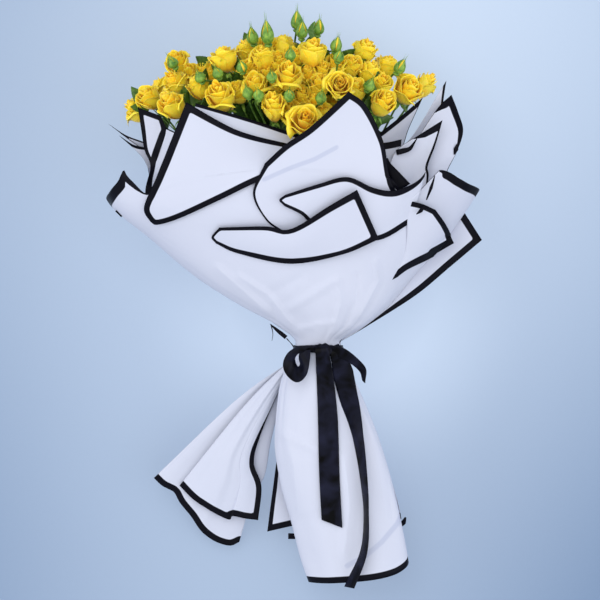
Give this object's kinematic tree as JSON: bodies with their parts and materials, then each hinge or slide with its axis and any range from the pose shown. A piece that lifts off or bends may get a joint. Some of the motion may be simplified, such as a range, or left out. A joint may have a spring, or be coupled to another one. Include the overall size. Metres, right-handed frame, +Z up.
{
  "type": "flower bouquet",
  "caption": "Hand-tied bouquet of yellow spray roses and green buds, rolled in white floral film with black borders and tied with a black satin ribbon, lying on its back.",
  "frame": {"origin": "on the surface the bouquet lies on, under the middle of its bounding box", "axes": "+Y from the skirt of the wrap to the flowers, +X to the right seen from above, +Z up"},
  "size_m": [0.4494, 0.6964, 0.2401],
  "materials": {
    "white_film": "matte floral film, white",
    "black_satin": "black satin ribbon",
    "yellow_petal": "soft matte petals, yellow",
    "green_stem": "leaf green, slightly waxy",
    "binding_twine": "natural twine"
  },
  "bodies": {
    "root": {"binding_twine": "binding_twine", "bloom_01": "yellow_petal", "bloom_02": "yellow_petal", "bloom_03": "yellow_petal", "bloom_04": "yellow_petal", "bloom_05": "yellow_petal", "bloom_06": "yellow_petal", "bloom_07": "yellow_petal", "bloom_08": "yellow_petal", "bloom_09": "yellow_petal", "bloom_10": "yellow_petal", "bloom_11": "yellow_petal", "bloom_12": "yellow_petal", "bloom_13": "yellow_petal", "bloom_14": "yellow_petal", "bloom_15": "yellow_petal", "bloom_16": "yellow_petal", "bloom_17": "yellow_petal", "bloom_18": "yellow_petal", "bloom_19": "yellow_petal", "bloom_20": "yellow_petal", "bloom_21": "yellow_petal", "bloom_22": "yellow_petal", "bloom_23": "yellow_petal", "bloom_24": "yellow_petal", "bloom_25": "yellow_petal", "far_blooms_left": "yellow_petal", "far_blooms_right": "yellow_petal", "inner_blooms_left": "yellow_petal", "inner_blooms_right": "yellow_petal", "ribbon_band": "black_satin", "ribbon_left_loop": "black_satin", "ribbon_long_tail": "black_satin", "ribbon_right_loop": "black_satin", "ribbon_slim_tail": "black_satin", "skirt_left_lower_fold": "white_film", "skirt_left_upper_fold": "white_film", "skirt_middle_fold": "white_film", "spray_1_green": "green_stem", "spray_2_green": "green_stem", "spray_3_green": "green_stem", "spray_4_green": "green_stem", "spray_5_green": "green_stem", "spray_6_green": "green_stem", "spray_7_green": "green_stem", "wrap_back_sheet": "white_film", "wrap_front_centre_flap": "white_film", "wrap_front_fold": "white_film", "wrap_front_left_flap": "white_film", "wrap_front_liner": "white_film", "wrap_front_low_flap": "white_film", "wrap_front_sheet": "white_film", "wrap_left_corner": "white_film", "wrap_left_inner_flap": "white_film", "wrap_right_flap": "white_film", "wrap_right_inner_flap": "white_film", "wrap_right_outer_flap": "white_film", "wrap_right_pocket": "white_film", "wrap_right_spike": "white_film", "wrap_right_tall_flap": "white_film"}
  },
  "joints": []
}
